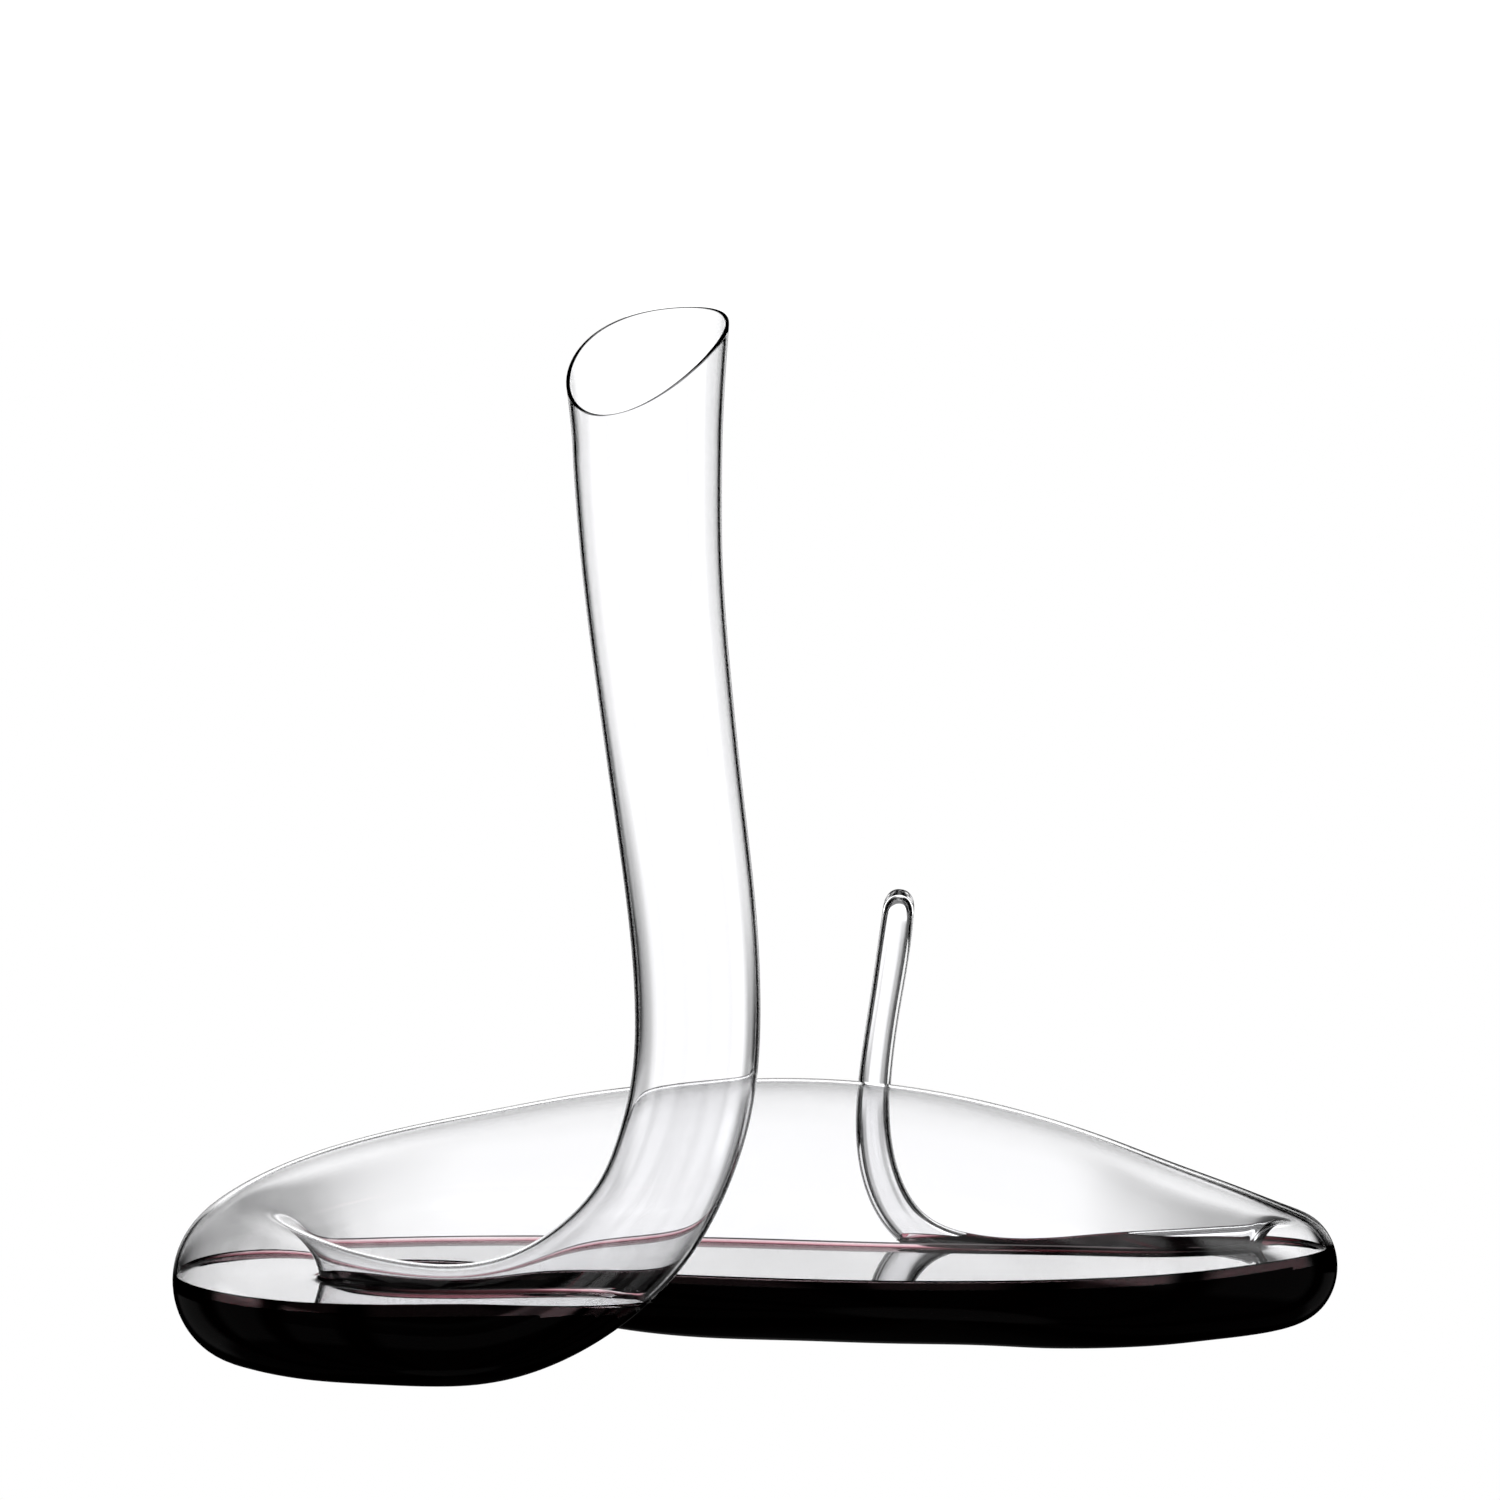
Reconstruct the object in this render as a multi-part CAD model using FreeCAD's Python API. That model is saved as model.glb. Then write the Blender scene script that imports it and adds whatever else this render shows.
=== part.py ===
"""Serpent-shaped blown-glass wine decanter with wine in it, one STEP per section of the glass.

The vessel is one bent tube: a tall neck drops into a low front bowl, the tube turns back on itself,
swells into the belly, tapers to a fold and ends in a thin closed tail that stands up behind the belly.
Millimetres, +Z up, standing on Z = 0; X runs along the belly, the neck is on the -Y side.
"""
import FreeCAD, Part
import math
import os

from FreeCAD import Vector

# ---- driving dimensions ----
RING_STEP = 4.5          # spacing of the section rings along the tube
COLUMNS = 24             # control columns around the tube
WINE_LEVEL = 26.0        # height of the wine above the table

LIP_BASE_Z = 284.0       # where the neck ends and the cut lip starts
LIP_MEAN_Z = 317.0       # mean height of the rim
LIP_SLANT = 16.4         # half the height difference across the slanted mouth
LIP_DISH = 2.3           # how much the low and high ends of the rim dip
LIP_HEADING = 57.0       # degrees from +X towards +Y, the way the mouth opens
LIP_RADIUS = 24.9        # outer radius at the rim
LIP_SPOUT = 1.0          # extra reach of the pouring point
LIP_WALL = 1.2           # glass thickness at the rim
LIP_FLARE = 1.6          # power of the flare: the wall opens mostly near the rim
LIP_SPOUT_POWER = 4      # how sharply the pouring point stands out
LIP_ROUNDING = 0.15      # how far the rounded rim draws in from each face
LIP_RING_SHARES = (0.12, 0.35, 0.62, 0.85, 0.965)    # heights of the lip's rings, as shares of its rim

TIP_HEIGHT = 7.5         # closed dome on the end of the tail
TIP_CAVITY = 4.6         # height of the cavity inside that dome

# The tube's stations: section it starts (or None), centre x, y, z, half width, half height, wall.
STATIONS = [
    ("neck_upper", -35.3, -51.4, LIP_BASE_Z, 22.75, 22.75, 1.1),
    (None, -34.0, -52.5, 254.0, 21.6, 21.6, 1.1),
    (None, -30.5, -53.5, 218.0, 20.65, 20.65, 1.1),
    ("neck_lower", -26.0, -54.5, 181.0, 20.0, 20.0, 1.1),
    (None, -21.5, -55.5, 144.0, 19.6, 19.6, 1.1),
    (None, -20.0, -56.0, 115.0, 19.25, 19.25, 1.1),
    (None, -21.8, -56.0, 90.0, 19.1, 19.1, 1.1),
    ("throat", -26.1, -56.0, 73.5, 18.85, 18.85, 1.1),
    (None, -34.2, -56.0, 55.0, 18.3, 18.3, 1.1),
    (None, -46.5, -56.0, 39.8, 18.2, 18.2, 1.1),
    ("front_bowl", -68.0, -56.0, 25.0, 18.4, 18.4, 1.2),
    (None, -92.0, -55.5, 18.5, 18.7, 18.9, 1.2),
    ("turn_front", -115.5, -54.8, 19.4, 19.7, 19.4, 1.2),
    (None, -135.8, -48.0, 21.2, 21.4, 21.3, 1.2),
    (None, -153.5, -31.2, 23.2, 22.8, 23.3, 1.2),
    ("turn_rear", -162.6, -7.2, 24.6, 24.0, 24.8, 1.2),
    (None, -157.5, 15.0, 28.9, 23.8, 24.3, 1.2),
    (None, -142.0, 31.0, 34.7, 24.2, 24.4, 1.2),
    ("shoulder", -117.5, 39.2, 39.6, 26.1, 26.1, 1.2),
    (None, -91.0, 39.0, 41.9, 30.2, 29.7, 1.1),
    (None, -56.0, 32.0, 42.2, 36.8, 37.0, 1.1),
    ("belly", -20.0, 24.0, 42.7, 41.0, 41.0, 1.0),
    (None, 12.0, 17.0, 43.7, 42.0, 41.8, 1.0),
    (None, 44.0, 12.2, 42.5, 41.2, 40.9, 1.0),
    ("taper", 75.5, 10.8, 38.9, 38.6, 37.9, 1.1),
    (None, 105.0, 12.0, 33.3, 33.4, 34.0, 1.3),
    (None, 123.5, 15.0, 29.9, 28.4, 30.3, 1.6),
    ("heel_front", 144.5, 23.0, 26.1, 21.8, 25.6, 1.9),
    (None, 161.3, 33.6, 22.6, 18.2, 21.6, 2.2),
    ("heel_rear", 170.7, 46.0, 20.6, 16.0, 18.5, 2.4),
    (None, 169.8, 57.8, 19.6, 13.4, 16.2, 2.4),
    ("tail_base", 157.7, 65.2, 19.8, 10.7, 12.8, 2.1),
    (None, 136.0, 66.5, 20.4, 8.9, 9.8, 1.8),
    (None, 111.0, 66.0, 20.4, 7.6, 7.8, 1.6),
    (None, 87.0, 65.0, 20.2, 6.4, 6.4, 1.4),
    ("tail_bend", 66.0, 64.0, 22.4, 6.3, 6.3, 1.3),
    (None, 54.0, 64.0, 26.7, 6.3, 6.3, 1.3),
    (None, 46.0, 64.0, 33.4, 6.3, 6.3, 1.3),
    (None, 40.4, 64.0, 43.0, 6.2, 6.2, 1.2),
    (None, 37.0, 64.0, 56.0, 5.9, 5.9, 1.2),
    ("tail_stem", 36.2, 64.0, 70.0, 5.5, 5.5, 1.2),
    (None, 37.3, 64.0, 85.5, 5.2, 5.2, 1.1),
    (None, 40.1, 64.0, 105.0, 5.1, 5.1, 1.1),
    (None, 43.0, 64.0, 124.0, 5.3, 5.3, 1.1),
    ("tail_tip", 44.2, 64.0, 134.0, 5.1, 5.1, 1.2),
]
TUBE_SECTIONS = [row[0] for row in STATIONS if row[0]][:-1]

# The wine's solid is built between these sections' starts, both well above the wine level.
WINE_FROM = "throat"
WINE_TO = "tail_stem"


# A closed cubic curve lies inside its control points, so rings of them are made larger by this.
RING_BULGE = 3 / (2 + math.cos(2 * math.pi / COLUMNS))
UPRIGHT_LIMIT = 0.1      # below this lean from the vertical a ring is taken as round
CUTTER = (600.0, 400.0, 100.0)       # block that cuts the decanter at a height, larger than it is


# ---- the path of the tube ----
def path_curves():
    """Centreline, and (length, half width, half height), as curves of the same path length."""
    centres = [Vector(*row[1:4]) for row in STATIONS]
    lengths = [0.0]
    for before, after in zip(centres, centres[1:]):
        lengths.append(lengths[-1] + before.distanceToPoint(after))
    sizes = [Vector(length, row[4], row[5]) for length, row in zip(lengths, STATIONS)]
    centre_curve = Part.BSplineCurve()
    centre_curve.interpolate(Points=centres, Parameters=lengths)
    size_curve = Part.BSplineCurve()
    size_curve.interpolate(Points=sizes, Parameters=lengths)
    return centre_curve, size_curve, lengths


def ring_lengths(lengths):
    """Path length and wall of every ring, and the ring number at which each section starts."""
    starts = {}
    rings = []
    for row, after, begin, end in zip(STATIONS, STATIONS[1:], lengths, lengths[1:]):
        if row[0]:
            starts[row[0]] = len(rings)
        steps = max(2, round((end - begin) / RING_STEP))
        for step in range(steps):
            share = step / steps
            rings.append((begin + (end - begin) * share, row[6] + (after[6] - row[6]) * share))
    starts[STATIONS[-1][0]] = len(rings)
    rings.append((lengths[-1], STATIONS[-1][6]))
    return rings, starts


def frames(centre_curve, rings):
    """Centre, tangent and a side vector carried along the tube without twisting."""
    side = Vector(0, 1, 0)
    found = []
    for length, _ in rings:
        tangent = centre_curve.tangent(length)[0]
        if length == 0:
            tangent = Vector(0, 0, -1)      # the neck's end is cut square
        side = (side - tangent * side.dot(tangent)).normalize()
        found.append((centre_curve.value(length), tangent, side))
    return found


def ring_points(frame, half_width, half_height):
    """Control points of one elliptical ring whose long axis stays upright."""
    centre, tangent, side = frame
    up = side.cross(tangent)
    upright = Vector(0, 0, 1) - tangent * tangent.z
    stretch = half_height - half_width
    if upright.Length < UPRIGHT_LIMIT:
        stretch = 0.0                       # upright tube: the ring is round
    else:
        upright.normalize()
    points = []
    for column in range(COLUMNS):
        angle = 2 * math.pi * column / COLUMNS
        ray = side * math.cos(angle) + up * math.sin(angle)
        points.append(centre + (ray * half_width + upright * (stretch * ray.dot(upright))) * RING_BULGE)
    return points


# ---- surfaces and solids ----
def ring_surface(rings):
    """Smooth surface, closed around, over a list of control rings."""
    columns = [[ring[column] for ring in rings] for column in range(COLUMNS)]
    inner_knots = len(rings) - 4
    surface = Part.BSplineSurface()
    surface.buildFromPolesMultsKnots(
        columns,
        [1] * (COLUMNS + 1), [4] + [1] * inner_knots + [4],
        list(range(COLUMNS + 1)), list(range(inner_knots + 2)),
        True, False, 3, 3)
    return surface


def stretch_of(surface, first_ring, last_ring):
    """The face between two rings; ring n lies at parameter n - 1, and the end rings at the ends."""
    low, high = surface.bounds()[2:]
    part = surface.copy()
    part.segment(0, COLUMNS, max(low, first_ring - 1), min(high, last_ring - 1))
    return part.toShape()


def end_edges(face):
    """The two closed edges of a tube face, at its first and last ring."""
    low, high = face.Surface.bounds()[2:]
    ends = []
    for value in (low, high):
        ends.append(face.Surface.vIso(value).toShape())
    return ends


def solid_of(faces):
    """One closed solid out of faces that meet edge to edge."""
    solid = Part.Solid(Part.Shell(faces))
    if solid.Volume < 0:
        solid.reverse()
    return solid


def tube_section(outer, inner, first_ring, last_ring):
    """Glass between two rings: outer wall, inner wall and a narrow annulus at each end."""
    outside = stretch_of(outer, first_ring, last_ring)
    inside = stretch_of(inner, first_ring, last_ring)
    caps = [Part.makeRuledSurface(a, b) for a, b in zip(end_edges(outside), end_edges(inside))]
    return solid_of([outside, inside] + caps)


def below(height):
    """A block that holds everything of the decanter below one height."""
    length, depth, tall = CUTTER
    return Part.makeBox(length, depth, tall, Vector(-length / 2, -depth / 2, height - tall))


def wine(inner_rings, starts):
    """The wine: what lies below the wine level inside the glass."""
    rings = inner_rings[starts[WINE_FROM]:starts[WINE_TO] + 1]
    skin = ring_surface(rings).toShape()
    caps = [Part.Face(Part.Wire(edge)) for edge in end_edges(skin)]
    return solid_of([skin] + caps).common(below(WINE_LEVEL)).Solids[0]


def lip(neck_outer_ring, neck_inner_ring):
    """Cut and fire-polished lip: outer wall, rounded rim and inner wall are one surface."""
    centre = Vector(*STATIONS[0][1:4])
    neck_radius, wall = STATIONS[0][4], STATIONS[0][6]
    outer_rings = [[] for _ in LIP_RING_SHARES]
    rim_rings = [[], []]
    inner_rings = [[] for _ in LIP_RING_SHARES]
    for column, root in enumerate(neck_outer_ring):
        ray = Vector(root.x - centre.x, root.y - centre.y, 0).normalize()
        turn = math.atan2(ray.y, ray.x) - math.radians(LIP_HEADING)
        rim_height = (LIP_MEAN_Z + LIP_SLANT * math.cos(turn) - LIP_DISH * math.cos(2 * turn) - centre.z)
        rim_radius = LIP_RADIUS + LIP_SPOUT * max(0.0, math.cos(turn)) ** LIP_SPOUT_POWER
        for number, share in enumerate(LIP_RING_SHARES):
            radius = neck_radius + (rim_radius - neck_radius) * share ** LIP_FLARE
            thickness = wall + (LIP_WALL - wall) * share
            rise = Vector(0, 0, rim_height * share)
            outer_rings[number].append(centre + rise + ray * (radius * RING_BULGE))
            inner_rings[number].append(centre + rise + ray * ((radius - thickness) * RING_BULGE))
        top = Vector(0, 0, rim_height)
        for ring, radius in zip(rim_rings, (rim_radius - LIP_ROUNDING, rim_radius - LIP_WALL + LIP_ROUNDING)):
            ring.append(centre + top + ray * (radius * RING_BULGE))
    rings = [neck_outer_ring] + outer_rings + rim_rings + inner_rings[::-1] + [neck_inner_ring]
    skin = ring_surface(rings).toShape()
    return solid_of([skin, Part.makeRuledSurface(*end_edges(skin))])


def tail_tip(frame, radius, wall):
    """The sealed end of the tail: a thick dome of revolution."""
    bore = radius - wall

    def dome_edge(half_width, height):
        curve = Part.BSplineCurve()
        rise = 4 / 3 * (math.sqrt(2) - 1)
        curve.buildFromPoles([
            Vector(half_width, 0, 0), Vector(half_width, 0, height * rise),
            Vector(half_width * rise, 0, height), Vector(0, 0, height)])
        return curve.toShape()

    profile = Part.Wire([
        Part.makeLine(Vector(bore, 0, 0), Vector(radius, 0, 0)),
        dome_edge(radius, TIP_HEIGHT),
        Part.makeLine(Vector(0, 0, TIP_HEIGHT), Vector(0, 0, TIP_CAVITY)),
        dome_edge(bore, TIP_CAVITY)])
    tip = Part.Face(profile).revolve(Vector(0, 0, 0), Vector(0, 0, 1), 360)
    centre, tangent, _ = frame
    tip.Placement = FreeCAD.Placement(centre, FreeCAD.Rotation(Vector(0, 0, 1), tangent))
    return tip


# ---- the decanter ----
def decanter():
    """All sections by node name."""
    centre_curve, size_curve, lengths = path_curves()
    rings, starts = ring_lengths(lengths)
    tube_frames = frames(centre_curve, rings)
    outer_rings, inner_rings = [], []
    for frame, (length, wall) in zip(tube_frames, rings):
        _, half_width, half_height = size_curve.value(length)
        outer_rings.append(ring_points(frame, half_width, half_height))
        inner_rings.append(ring_points(frame, half_width - wall, half_height - wall))
    outer, inner = ring_surface(outer_rings), ring_surface(inner_rings)

    nodes = {"lip_rim": lip(outer_rings[0], inner_rings[0])}
    ends = TUBE_SECTIONS[1:] + [STATIONS[-1][0]]
    for name, following in zip(TUBE_SECTIONS, ends):
        section = tube_section(outer, inner, starts[name], starts[following])
        if section.BoundBox.ZMin < 0:
            section = section.cut(below(0)).Solids[0]
        nodes[name] = section
    nodes["tail_tip"] = tail_tip(tube_frames[-1], STATIONS[-1][4], STATIONS[-1][6])
    nodes["wine_fill"] = wine(inner_rings, starts)
    return nodes


os.makedirs("parts", exist_ok=True)
for name, shape in decanter().items():
    box = shape.BoundBox
    print(f"{name}: {shape.ShapeType} valid {shape.isValid()} volume {shape.Volume / 1000:.1f} ml",
          f"z {box.ZMin:.2f}..{box.ZMax:.2f} faces {len(shape.Faces)}")
    shape.exportStep(f"parts/{name}.step")
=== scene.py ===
import math

import bmesh
import bpy
import numpy as np
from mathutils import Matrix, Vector


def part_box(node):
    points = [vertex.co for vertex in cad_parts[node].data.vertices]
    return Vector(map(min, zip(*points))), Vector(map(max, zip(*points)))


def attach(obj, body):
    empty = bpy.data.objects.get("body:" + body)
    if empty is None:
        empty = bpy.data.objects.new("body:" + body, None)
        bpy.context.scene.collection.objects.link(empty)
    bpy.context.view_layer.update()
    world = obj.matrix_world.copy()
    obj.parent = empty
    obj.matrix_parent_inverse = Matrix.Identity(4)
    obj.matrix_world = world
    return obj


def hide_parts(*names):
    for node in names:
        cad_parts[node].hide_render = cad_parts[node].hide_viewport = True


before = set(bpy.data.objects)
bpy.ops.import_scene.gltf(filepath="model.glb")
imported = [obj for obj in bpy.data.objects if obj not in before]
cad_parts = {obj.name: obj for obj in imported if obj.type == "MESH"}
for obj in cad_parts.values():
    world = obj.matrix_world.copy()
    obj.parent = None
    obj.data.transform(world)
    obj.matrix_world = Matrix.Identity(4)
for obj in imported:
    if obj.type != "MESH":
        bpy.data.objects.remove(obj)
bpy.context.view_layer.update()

# ---- The glass vessel ----
# One tube of clear lead-free crystal, blown and bent by hand: flared mouth, neck, front bowl, a turn round
# the left end, the big belly, a fold at the heel and a thin tail that rises to a sealed tip. Nothing is
# joined to it, so it is one shell: a cage of rings along the tube's centre, given its wall and then smoothed.
MM = 0.001
COLUMNS = 20
RINGS_PER_STATION = 3
THICKEST_WALL = 3.2 * MM
UPRIGHT_LIMIT = 0.1         # where the tube leans less than this, as a sine, its rings fade to round
TUBE = (        # centre x, y, z, half width, half height and wall, in mm, from the neck to the tail
    (-35.3, -51.4, 284, 22.75, 22.75, 1.1), (-34, -52.5, 254, 21.6, 21.6, 1.1),
    (-30.5, -53.5, 218, 20.65, 20.65, 1.1), (-26, -54.5, 181, 20, 20, 1.1),
    (-21.5, -55.5, 144, 19.6, 19.6, 1.1), (-20, -56, 115, 19.25, 19.25, 1.1),
    (-21.8, -56, 90, 19.1, 19.1, 1.1), (-26.1, -56, 73.5, 18.85, 18.85, 1.1),
    (-34.2, -56, 55, 18.3, 18.3, 1.1), (-46.5, -56, 39.8, 18.2, 18.2, 1.1),
    (-68, -56, 25, 18.4, 18.4, 1.2), (-92, -55.5, 18.5, 18.7, 18.9, 1.2),
    (-115.5, -54.8, 19.4, 19.7, 19.4, 1.2), (-135.8, -48, 21.2, 21.4, 21.3, 1.2),
    (-153.5, -31.2, 23.2, 22.8, 23.3, 1.2), (-162.6, -7.2, 24.6, 24, 24.8, 1.2),
    (-157.5, 15, 28.9, 23.8, 24.3, 1.2), (-142, 31, 34.7, 24.2, 24.4, 1.2),
    (-117.5, 39.2, 39.6, 26.1, 26.1, 1.2), (-91, 39, 41.9, 30.2, 29.7, 1.1),
    (-56, 32, 42.2, 36.8, 37, 1.1), (-20, 24, 42.7, 41, 41, 1),
    (12, 17, 43.7, 42, 41.8, 1), (44, 12.2, 42.5, 41.2, 40.9, 1),
    (75.5, 10.8, 38.9, 38.6, 37.9, 1.1), (105, 12, 33.3, 33.4, 34, 1.3),
    (123.5, 15, 29.9, 28.4, 30.3, 1.6), (144.5, 23, 26.1, 21.8, 25.6, 1.9),
    (161.3, 33.6, 22.6, 18.2, 21.6, 2.2), (170.7, 46, 20.6, 16, 18.5, 2.4),
    (169.8, 57.8, 19.6, 13.4, 16.2, 2.4), (157.7, 65.2, 19.8, 10.7, 12.8, 2.1),
    (136, 66.5, 20.4, 8.9, 9.8, 1.8), (111, 66, 20.4, 7.6, 7.8, 1.6),
    (87, 65, 20.2, 6.4, 6.4, 1.4), (66, 64, 22.4, 6.3, 6.3, 1.3),
    (54, 64, 26.7, 6.3, 6.3, 1.3), (46, 64, 33.4, 6.3, 6.3, 1.3),
    (40.4, 64, 43, 6.2, 6.2, 1.2), (37, 64, 56, 5.9, 5.9, 1.2),
    (36.2, 64, 70, 5.5, 5.5, 1.2), (37.3, 64, 85.5, 5.2, 5.2, 1.1),
    (40.1, 64, 105, 5.1, 5.1, 1.1), (43, 64, 124, 5.3, 5.3, 1.1),
    (44.2, 64, 134, 5.1, 5.1, 1.2),
)


def along_the_tube(steps):
    """Rows of centre, sizes and wall in metres on a natural cubic spline through TUBE, steps to a station."""
    rows = np.array(TUBE) * MM
    gaps = np.linalg.norm(np.diff(rows[:, :3], axis=0), axis=1)
    slopes = np.diff(rows, axis=0) / gaps[:, None]
    bends = np.eye(len(rows))
    pulls = np.zeros_like(rows)
    for k in range(1, len(rows) - 1):
        bends[k, k - 1:k + 2] = gaps[k - 1], 2 * (gaps[k - 1] + gaps[k]), gaps[k]
        pulls[k] = 6 * (slopes[k] - slopes[k - 1])
    curving = np.linalg.solve(bends, pulls)
    found = []
    for k, gap in enumerate(gaps):
        for step in range(steps):
            u = step / steps
            v = 1 - u
            found.append(
                v * rows[k] + u * rows[k + 1]
                + ((v ** 3 - v) * curving[k] + (u ** 3 - u) * curving[k + 1]) * gap * gap / 6)
    return np.array(found + [rows[-1]])


def flows(rows):
    """The tube's direction at every row; the neck's first ring is level."""
    directions = np.gradient(rows[:, :3], axis=0)
    directions[0] = 0, 0, -1
    return [Vector(d).normalized() for d in directions]


def ring_cage(row, flow, side):
    """Cage corners of one elliptical ring; its long axis stays upright, and nothing dips under the floor."""
    over = side.cross(flow)
    upright = Vector((0, 0, 1)) - flow * flow.z
    stretch = (row[4] - row[3]) * min(1.0, upright.length / UPRIGHT_LIMIT)
    upright.normalize()
    corners = []
    for column in range(COLUMNS):
        angle = 2 * math.pi * column / COLUMNS
        ray = side * math.cos(angle) + over * math.sin(angle)
        corner = Vector(row[:3]) + (ray * row[3] + upright * (stretch * ray.dot(upright))) * CAGE_BULGE
        corners.append(Vector((corner.x, corner.y, max(corner.z, 0.0))))
    return corners


def lip_cage(root, centre, share, neck_radius):
    """Cage corners of one ring of the flared lip: its slant grows from level at the neck to the cut rim."""
    corners = []
    for corner in root:
        ray = Vector((corner.x - centre.x, corner.y - centre.y, 0)).normalized()
        turn = math.atan2(ray.y, ray.x) - math.radians(LIP_HEADING)
        rim = (LIP_HEIGHT + LIP_SLANT * math.cos(turn) - LIP_DISH * math.cos(2 * turn)) * MM - centre.z
        spout = LIP_RADIUS * MM + LIP_SPOUT * MM * max(0.0, math.cos(turn)) ** LIP_SPOUT_POWER
        radius = neck_radius + (spout - neck_radius) * share ** LIP_FLARE
        corners.append(centre + Vector((0, 0, rim * share)) + ray * (radius * CAGE_BULGE))
    return corners


CAGE_BULGE = 3 / (2 + math.cos(2 * math.pi / COLUMNS))   # smoothing draws a ring in by this much
LIP_HEIGHT, LIP_SLANT, LIP_DISH, LIP_HEADING = 317.35, 16.4, 2.3, 57     # mm, and degrees from +X
LIP_RADIUS, LIP_WALL = 24.9, 1.2                         # mm
LIP_SPOUT, LIP_SPOUT_POWER = 1.0, 4                      # mm the pouring point stands out, and how sharply
LIP_FLARE = 1.6                                          # the wall opens mostly near the rim
LIP_RINGS = (1.0, 0.965, 0.85, 0.68, 0.5, 0.33, 0.16)    # shares of the way from the neck to the rim
TIP_RINGS = ((0.35, 0.99), (0.66, 0.86), (0.9, 0.60), (1.0, 0.27))       # share of the height, of the radius
TIP_HEIGHT, TIP_WALL = 7.5 * MM, 2.9 * MM

rows = along_the_tube(RINGS_PER_STATION)
directions = flows(rows)
rings, walls = [], []
side = Vector((0, 1, 0))
for row, flow in zip(rows, directions):
    side = (side - flow * side.dot(flow)).normalized()
    rings.append(ring_cage(row, flow, side))
    walls.append(row[5])
mouth = Vector(rows[0][:3])
rings = [lip_cage(rings[0], mouth, share, rows[0][3]) for share in LIP_RINGS] + rings
walls = [LIP_WALL * MM] * len(LIP_RINGS) + walls
tip = Vector(rows[-1][:3])
last_ring = rings[-1]
for height, width in TIP_RINGS:
    rings.append([tip + (c - tip) * width + directions[-1] * (TIP_HEIGHT * height) for c in last_ring])
    walls.append(rows[-1][5] + (TIP_WALL - rows[-1][5]) * height)


def ring_shell(name, rings, close_start, close_end, material):
    """A tube of quads through the rings, its ends open or drawn together at a point."""
    shell = bmesh.new()
    loops = [[shell.verts.new(corner) for corner in ring] for ring in rings]
    for near, far in zip(loops, loops[1:]):
        for k in range(len(near)):
            j = (k + 1) % len(near)
            shell.faces.new((near[k], far[k], far[j], near[j]))
    for loop, wanted in ((loops[0][::-1], close_start), (loops[-1], close_end)):
        if wanted:
            middle = sum((v.co for v in loop), Vector()) / len(loop)
            pole = shell.verts.new(middle)
            for k in range(len(loop)):
                shell.faces.new((loop[k], pole, loop[(k + 1) % len(loop)]))
    mesh = bpy.data.meshes.new(name)
    shell.to_mesh(mesh)
    shell.free()
    for face in mesh.polygons:
        face.use_smooth = True
    mesh.materials.append(material)
    piece = bpy.data.objects.new(name, mesh)
    bpy.context.scene.collection.objects.link(piece)
    return piece


def patterned(name):
    """A new material: its Principled node, and a maker of the other nodes and links it needs."""
    material = bpy.data.materials.new(name)
    material.use_nodes = True
    tree = material.node_tree
    surface = tree.nodes["Principled BSDF"]

    def add(kind, settings=(), **inputs):
        node = tree.nodes.new(kind)
        for key, value in dict(settings).items():
            setattr(node, key, value)
        for key, value in inputs.items():
            socket = node.inputs[key.replace("_", " ")]
            if isinstance(value, bpy.types.NodeSocket):
                tree.links.new(value, socket)
            else:
                socket.default_value = value
        return node
    return material, tree, surface, add


# Clear crystal: colourless, with the faint cords and waves that blowing leaves, and the lightest film.
crystal, tree, surface, add = patterned("clear_crystal")
surface.inputs["Base Color"].default_value = (0.985, 0.985, 0.992, 1)
surface.inputs["Transmission Weight"].default_value = 1.0
surface.inputs["IOR"].default_value = 1.5
place = add("ShaderNodeTexCoord").outputs["Object"]
waves = add("ShaderNodeTexNoise", Vector=place, Scale=18.0, Detail=1.0)
blown = add("ShaderNodeBump", Height=waves.outputs["Fac"], Strength=0.02, Distance=0.002)
tree.links.new(blown.outputs["Normal"], surface.inputs["Normal"])
film = add("ShaderNodeTexNoise", Vector=place, Scale=45.0, Detail=4.0)
polish = add("ShaderNodeMapRange", Value=film.outputs["Fac"], To_Min=0.0, To_Max=0.012)
tree.links.new(polish.outputs["Result"], surface.inputs["Roughness"])

vessel = ring_shell("glass_vessel", rings, False, True, crystal)
wall_group = vessel.vertex_groups.new(name="wall")
for number, wall in enumerate(walls):
    members = range(number * COLUMNS, (number + 1) * COLUMNS)
    wall_group.add(list(members), wall / THICKEST_WALL, "REPLACE")
wall_group.add([len(walls) * COLUMNS], TIP_WALL / THICKEST_WALL, "REPLACE")
blown_wall = vessel.modifiers.new("blown wall", "SOLIDIFY")
blown_wall.thickness = THICKEST_WALL
blown_wall.offset = -1
blown_wall.use_even_offset = True
blown_wall.vertex_group = "wall"
smooth = vessel.modifiers.new("smooth", "SUBSURF")
smooth.levels = smooth.render_levels = 2
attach(vessel, "root")
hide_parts(*[node for node in sorted(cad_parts) if node != "wine_fill"])

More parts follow.
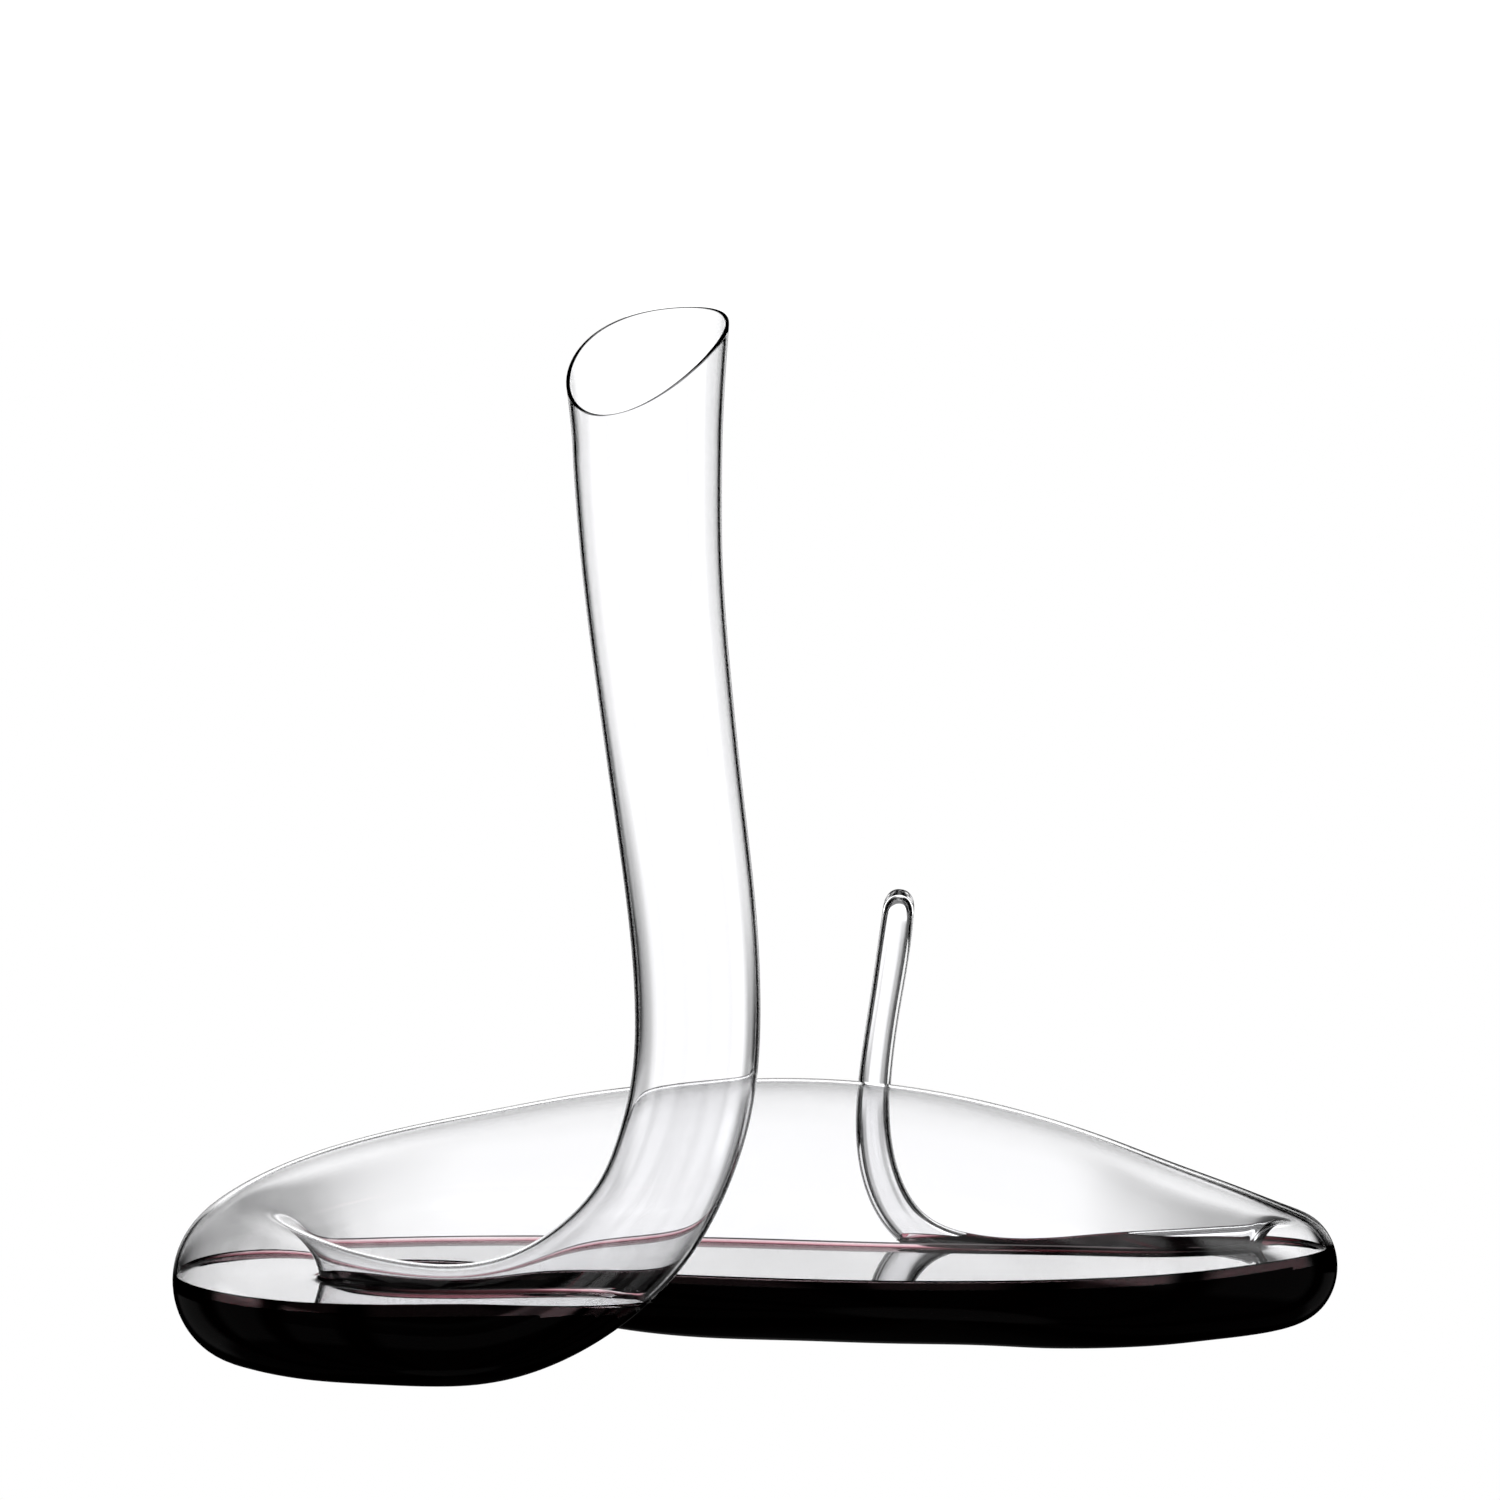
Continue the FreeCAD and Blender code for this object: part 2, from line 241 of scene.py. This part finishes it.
# ---- The wine ----
# Red wine standing at one level all through the tube, from the foot of the neck round to the foot of the
# tail. It wets the glass, so along the wall its surface curls up into a thin edge that shows pink.
WINE_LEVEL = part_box("wine_fill")[1].z
CLIMB, CLIMB_WIDTH = 1.7 * MM, 1.1 * MM     # how far the surface curls up the wall, and how fast that fades
WETTING = 0.4 * MM                          # how far the wine's skin lies inside the glass wall
WINE_FIRST, WINE_LAST = 7 * RINGS_PER_STATION, 38 * RINGS_PER_STATION   # rings of TUBE it may reach
SHORE = (0.45, 0.8, 1.2, 1.8, 2.6, 4.0, 7.0)           # mm from the wall, the points across the surface
SHORE_HALF = 9 * MM             # in a tube narrower than this the points draw together
UNDERSIDE = 48                  # steps round the glass below the surface
EDGE_DEPTH = 1.0 * MM           # the thin edge lets light through down to this far under the level


def wine_ring(row, flow):
    """One slice of the wine across the tube: round the glass below, and over the curled surface above."""
    side = flow.cross(Vector((0, 0, 1))).normalized()
    over = side.cross(flow)
    if over.z < 0:
        side, over = -side, -over
    bore = row[3] - row[5] + WETTING
    lean = over.z
    bore_height = bore + (row[4] - row[3]) * lean * lean
    centre = Vector(row[:3])
    shore = (WINE_LEVEL + CLIMB - centre.z) / (bore_height * lean)
    if shore <= -1:
        return None
    contact = math.asin(min(1.0, shore))
    half = bore * math.cos(contact)
    points = []
    for k in range(UNDERSIDE + 1):
        eased = (1 - math.cos(math.pi * k / UNDERSIDE)) / 2
        angle = math.pi - contact + (math.pi + 2 * contact) * eased
        points.append(centre + side * (bore * math.cos(angle)) + over * (bore_height * math.sin(angle)))
    reach = min(1.0, half / SHORE_HALF)
    offsets = [half - d * MM * reach for d in SHORE]
    crossings = offsets + [0.0] + [-d for d in offsets[::-1]]
    for across in crossings:
        if shore >= 1:
            points.append(points[-1].copy())
            continue
        depth = half - abs(across)
        height = WINE_LEVEL + CLIMB * math.exp(-depth / CLIMB_WIDTH)
        rise = (height - centre.z) / lean
        points.append(centre + side * across + over * rise)
    return points


wine_rows = along_the_tube(RINGS_PER_STATION * 2)
wine_flows = flows(wine_rows)
slices = []
for row, flow in list(zip(wine_rows, wine_flows))[2 * WINE_FIRST:2 * WINE_LAST]:
    ring = wine_ring(row, flow)
    if ring:
        slices.append(ring)

red_wine, tree, surface, add = patterned("red_wine")
surface.inputs["Base Color"].default_value = (1, 1, 1, 1)
surface.inputs["Transmission Weight"].default_value = 1.0
surface.inputs["IOR"].default_value = 1.34
surface.inputs["Roughness"].default_value = 0.0
depth = add("ShaderNodeVolumeAbsorption", Color=(0.72, 0.05, 0.19, 1), Density=1600.0)
tree.links.new(depth.outputs["Volume"], tree.nodes["Material Output"].inputs["Volume"])

# Below the thin edge it is too deep for light to pass.
deep_wine, tree, surface, add = patterned("deep_wine")
place = add("ShaderNodeTexCoord").outputs["Object"]
cloud = add("ShaderNodeTexNoise", Vector=place, Scale=30.0, Detail=2.0)
shade = add("ShaderNodeMix", {"data_type": "RGBA"})
tree.links.new(cloud.outputs["Fac"], shade.inputs[0])
shade.inputs[6].default_value = (0.0006, 0.00004, 0.0001, 1)
shade.inputs[7].default_value = (0.0014, 0.00008, 0.0002, 1)
tree.links.new(shade.outputs[2], surface.inputs["Base Color"])
surface.inputs["Roughness"].default_value = 0.6
surface.inputs["Specular IOR Level"].default_value = 0.0

wine = ring_shell("red_wine", slices, True, True, red_wine)
wine.data.materials.append(deep_wine)
for face in wine.data.polygons:
    if all(wine.data.vertices[v].co.z < WINE_LEVEL - EDGE_DEPTH for v in face.vertices):
        face.material_index = 1
SAME_POINT = 0.01 * MM          # where the tube is full to its roof, the surface's points fall together
skin = bmesh.new()
skin.from_mesh(wine.data)
bmesh.ops.remove_doubles(skin, verts=skin.verts, dist=SAME_POINT)
skin.to_mesh(wine.data)
skin.free()
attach(wine, "root")
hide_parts("wine_fill")

# ---- The studio ----
# A white floor that runs up into a white background, and light boxes round the decanter, with dark gaps
# between them: a bright box behind clear glass leaves its middle clear, and a gap draws its edges dark.
FLOOR = 30.0                    # half its side, in metres
floor_mesh = bpy.data.meshes.new("floor")
floor_mesh.from_pydata(
    [(-FLOOR, -FLOOR, 0), (FLOOR, -FLOOR, 0), (FLOOR, FLOOR, 0), (-FLOOR, FLOOR, 0)], [], [(0, 1, 2, 3)])
floor = bpy.data.objects.new("studio_floor", floor_mesh)
bpy.context.scene.collection.objects.link(floor)
paper, _, surface, _ = patterned("white_paper")
surface.inputs["Base Color"].default_value = (0, 0, 0, 1)
surface.inputs["Specular IOR Level"].default_value = 0.0
surface.inputs["Emission Color"].default_value = (1, 1, 1, 1)
surface.inputs["Emission Strength"].default_value = 1.0
floor_mesh.materials.append(paper)
floor.visible_transmission = False
floor.visible_glossy = False
floor.visible_diffuse = False
floor.visible_shadow = False

world = bpy.data.worlds.new("studio")
bpy.context.scene.world = world
world.use_nodes = True
tree = world.node_tree
tree.nodes.clear()


def node(kind, operation=None, *values):
    """A node of the studio's light, with its values or links in order."""
    made = tree.nodes.new(kind)
    if operation:
        made.operation = operation
    for socket, value in zip(made.inputs, values):
        if isinstance(value, bpy.types.NodeSocket):
            tree.links.new(value, socket)
        else:
            socket.default_value = value
    return made


def ramp(value, start, end, low, high):
    """low up to start, rising smoothly to high at end."""
    made = tree.nodes.new("ShaderNodeMapRange")
    made.interpolation_type = "SMOOTHSTEP"
    tree.links.new(value, made.inputs["Value"])
    for name, number in (("From Min", start), ("From Max", end), ("To Min", low), ("To Max", high)):
        made.inputs[name].default_value = number
    return made.outputs["Result"]


def maths(operation, *values):
    return node("ShaderNodeMath", operation, *values).outputs["Value"]


def fade(value, other, share):
    """value where share is 0, other where it is 1."""
    return maths("ADD", value, maths("MULTIPLY", share, maths("SUBTRACT", other, value)))


towards = node("ShaderNodeSeparateXYZ", None, node("ShaderNodeTexCoord").outputs["Generated"]).outputs
IN_DEGREES = 180 / math.pi
bearing = maths("MULTIPLY", maths("ARCTAN2", towards["X"], towards["Y"]), IN_DEGREES)
elevation = maths("MULTIPLY", maths("ARCSINE", towards["Z"]), IN_DEGREES)
MIDDLE = 0.4                    # degrees: the main box stands a little to the right
HALF_SPACING = 22.5             # degrees: half the angle from one box to the next
from_middle = maths("ABSOLUTE", maths("SUBTRACT", bearing, MIDDLE))
from_behind = maths("ABSOLUTE", bearing)
from_box = maths("ABSOLUTE", maths("WRAP", bearing, HALF_SPACING, -HALF_SPACING))

# Each ramp gives two angles in degrees and the brightness at them, where 1 is the white of the floor.
# The main box stands behind the decanter, with a narrower pool of light on the table in front of it.
pool = maths("ADD", ramp(from_middle, 3.0, 5.8, 0.62, 0.0), ramp(from_middle, 6.0, 13.0, 0.58, 0.03))
main_box = ramp(from_middle, 11.5, 17.5, 1.22, 0.0)
behind = fade(pool, main_box, ramp(elevation, -7.4, -4.6, 0.0, 1.0))
behind = maths("MULTIPLY", behind, ramp(elevation, -34.0, -24.0, 0.12, 1.0))

# Seven more boxes round it, an eighth of a turn apart, light the other sides, and one below lights the top.
# Nearer the horizon than some 10 degrees under it, the two boxes beside the main one are masked off and
# the three behind the camera dimmed.
around = ramp(from_box, 10.0, 19.0, 1.12, 0.02)
around = maths("MULTIPLY", around, ramp(elevation, -40.0, -32.0, 0.12, 1.0))
nearly_level = ramp(elevation, -11.0, -9.9, 0.0, 1.0)
masked = ramp(from_behind, 66.0, 70.0, 1.0, 0.0)
dimming = ramp(from_behind, 110.0, 114.0, 0.0, 0.7)
for covered in (dimming, masked):
    around = maths("MULTIPLY", around, maths("SUBTRACT", 1.0, maths("MULTIPLY", covered, nearly_level)))
sides = fade(around, behind, ramp(from_behind, 21.0, 24.0, 1.0, 0.0))
below = ramp(elevation, -84.0, -80.0, 1.1, 0.0)
spread = maths("MAXIMUM", sides, below)

# The boxes are brightest just above the horizon, which the wine's surface mirrors, and end soon over it.
upper = maths("MULTIPLY", ramp(elevation, 2.0, 8.0, 1.0, 2.0), ramp(elevation, 10.0, 16.0, 1.0, 0.1))
lit = maths("MULTIPLY", spread, upper)

# Seen directly, the background is plain white; mirrored by the outside of the glass, it is nearly dark.
OUTER_MIRRORING = 0.03
path = node("ShaderNodeLightPath").outputs
seen = maths("MAXIMUM", lit, path["Is Camera Ray"])
mirror = maths("MULTIPLY", path["Is Glossy Ray"], maths("SUBTRACT", 1.0, path["Is Transmission Ray"]))
dimmed = maths("MULTIPLY", seen, maths("SUBTRACT", 1.0, maths("MULTIPLY", mirror, 1 - OUTER_MIRRORING)))
light = node("ShaderNodeBackground", None, (1, 1, 1, 1), dimmed)
tree.links.new(light.outputs["Background"], node("ShaderNodeOutputWorld").inputs["Surface"])

scene = bpy.context.scene
scene.view_settings.view_transform = "Standard"
LAYERS_OF_GLASS = 32            # light may cross this many surfaces, because tubes lie behind tubes
scene.cycles.max_bounces = LAYERS_OF_GLASS
scene.cycles.transmission_bounces = LAYERS_OF_GLASS
scene.cycles.glossy_bounces = 12

# The camera stands two metres off, a little above the rim's height, and looks slightly down.
camera = bpy.data.objects.new("camera", bpy.data.cameras.new("camera"))
scene.collection.objects.link(camera)
AIM = Vector((-0.0040, -0.0130, 0.193))
DISTANCE, PITCH = 2.0, math.radians(4.5)
camera.location = AIM + Vector((0, -math.cos(PITCH), math.sin(PITCH))) * DISTANCE
camera.rotation_euler = (math.pi / 2 - PITCH, 0, 0)
camera.data.lens = 153.6        # mm, on a sensor 36 mm wide
camera.data.sensor_width = 36
scene.camera = camera
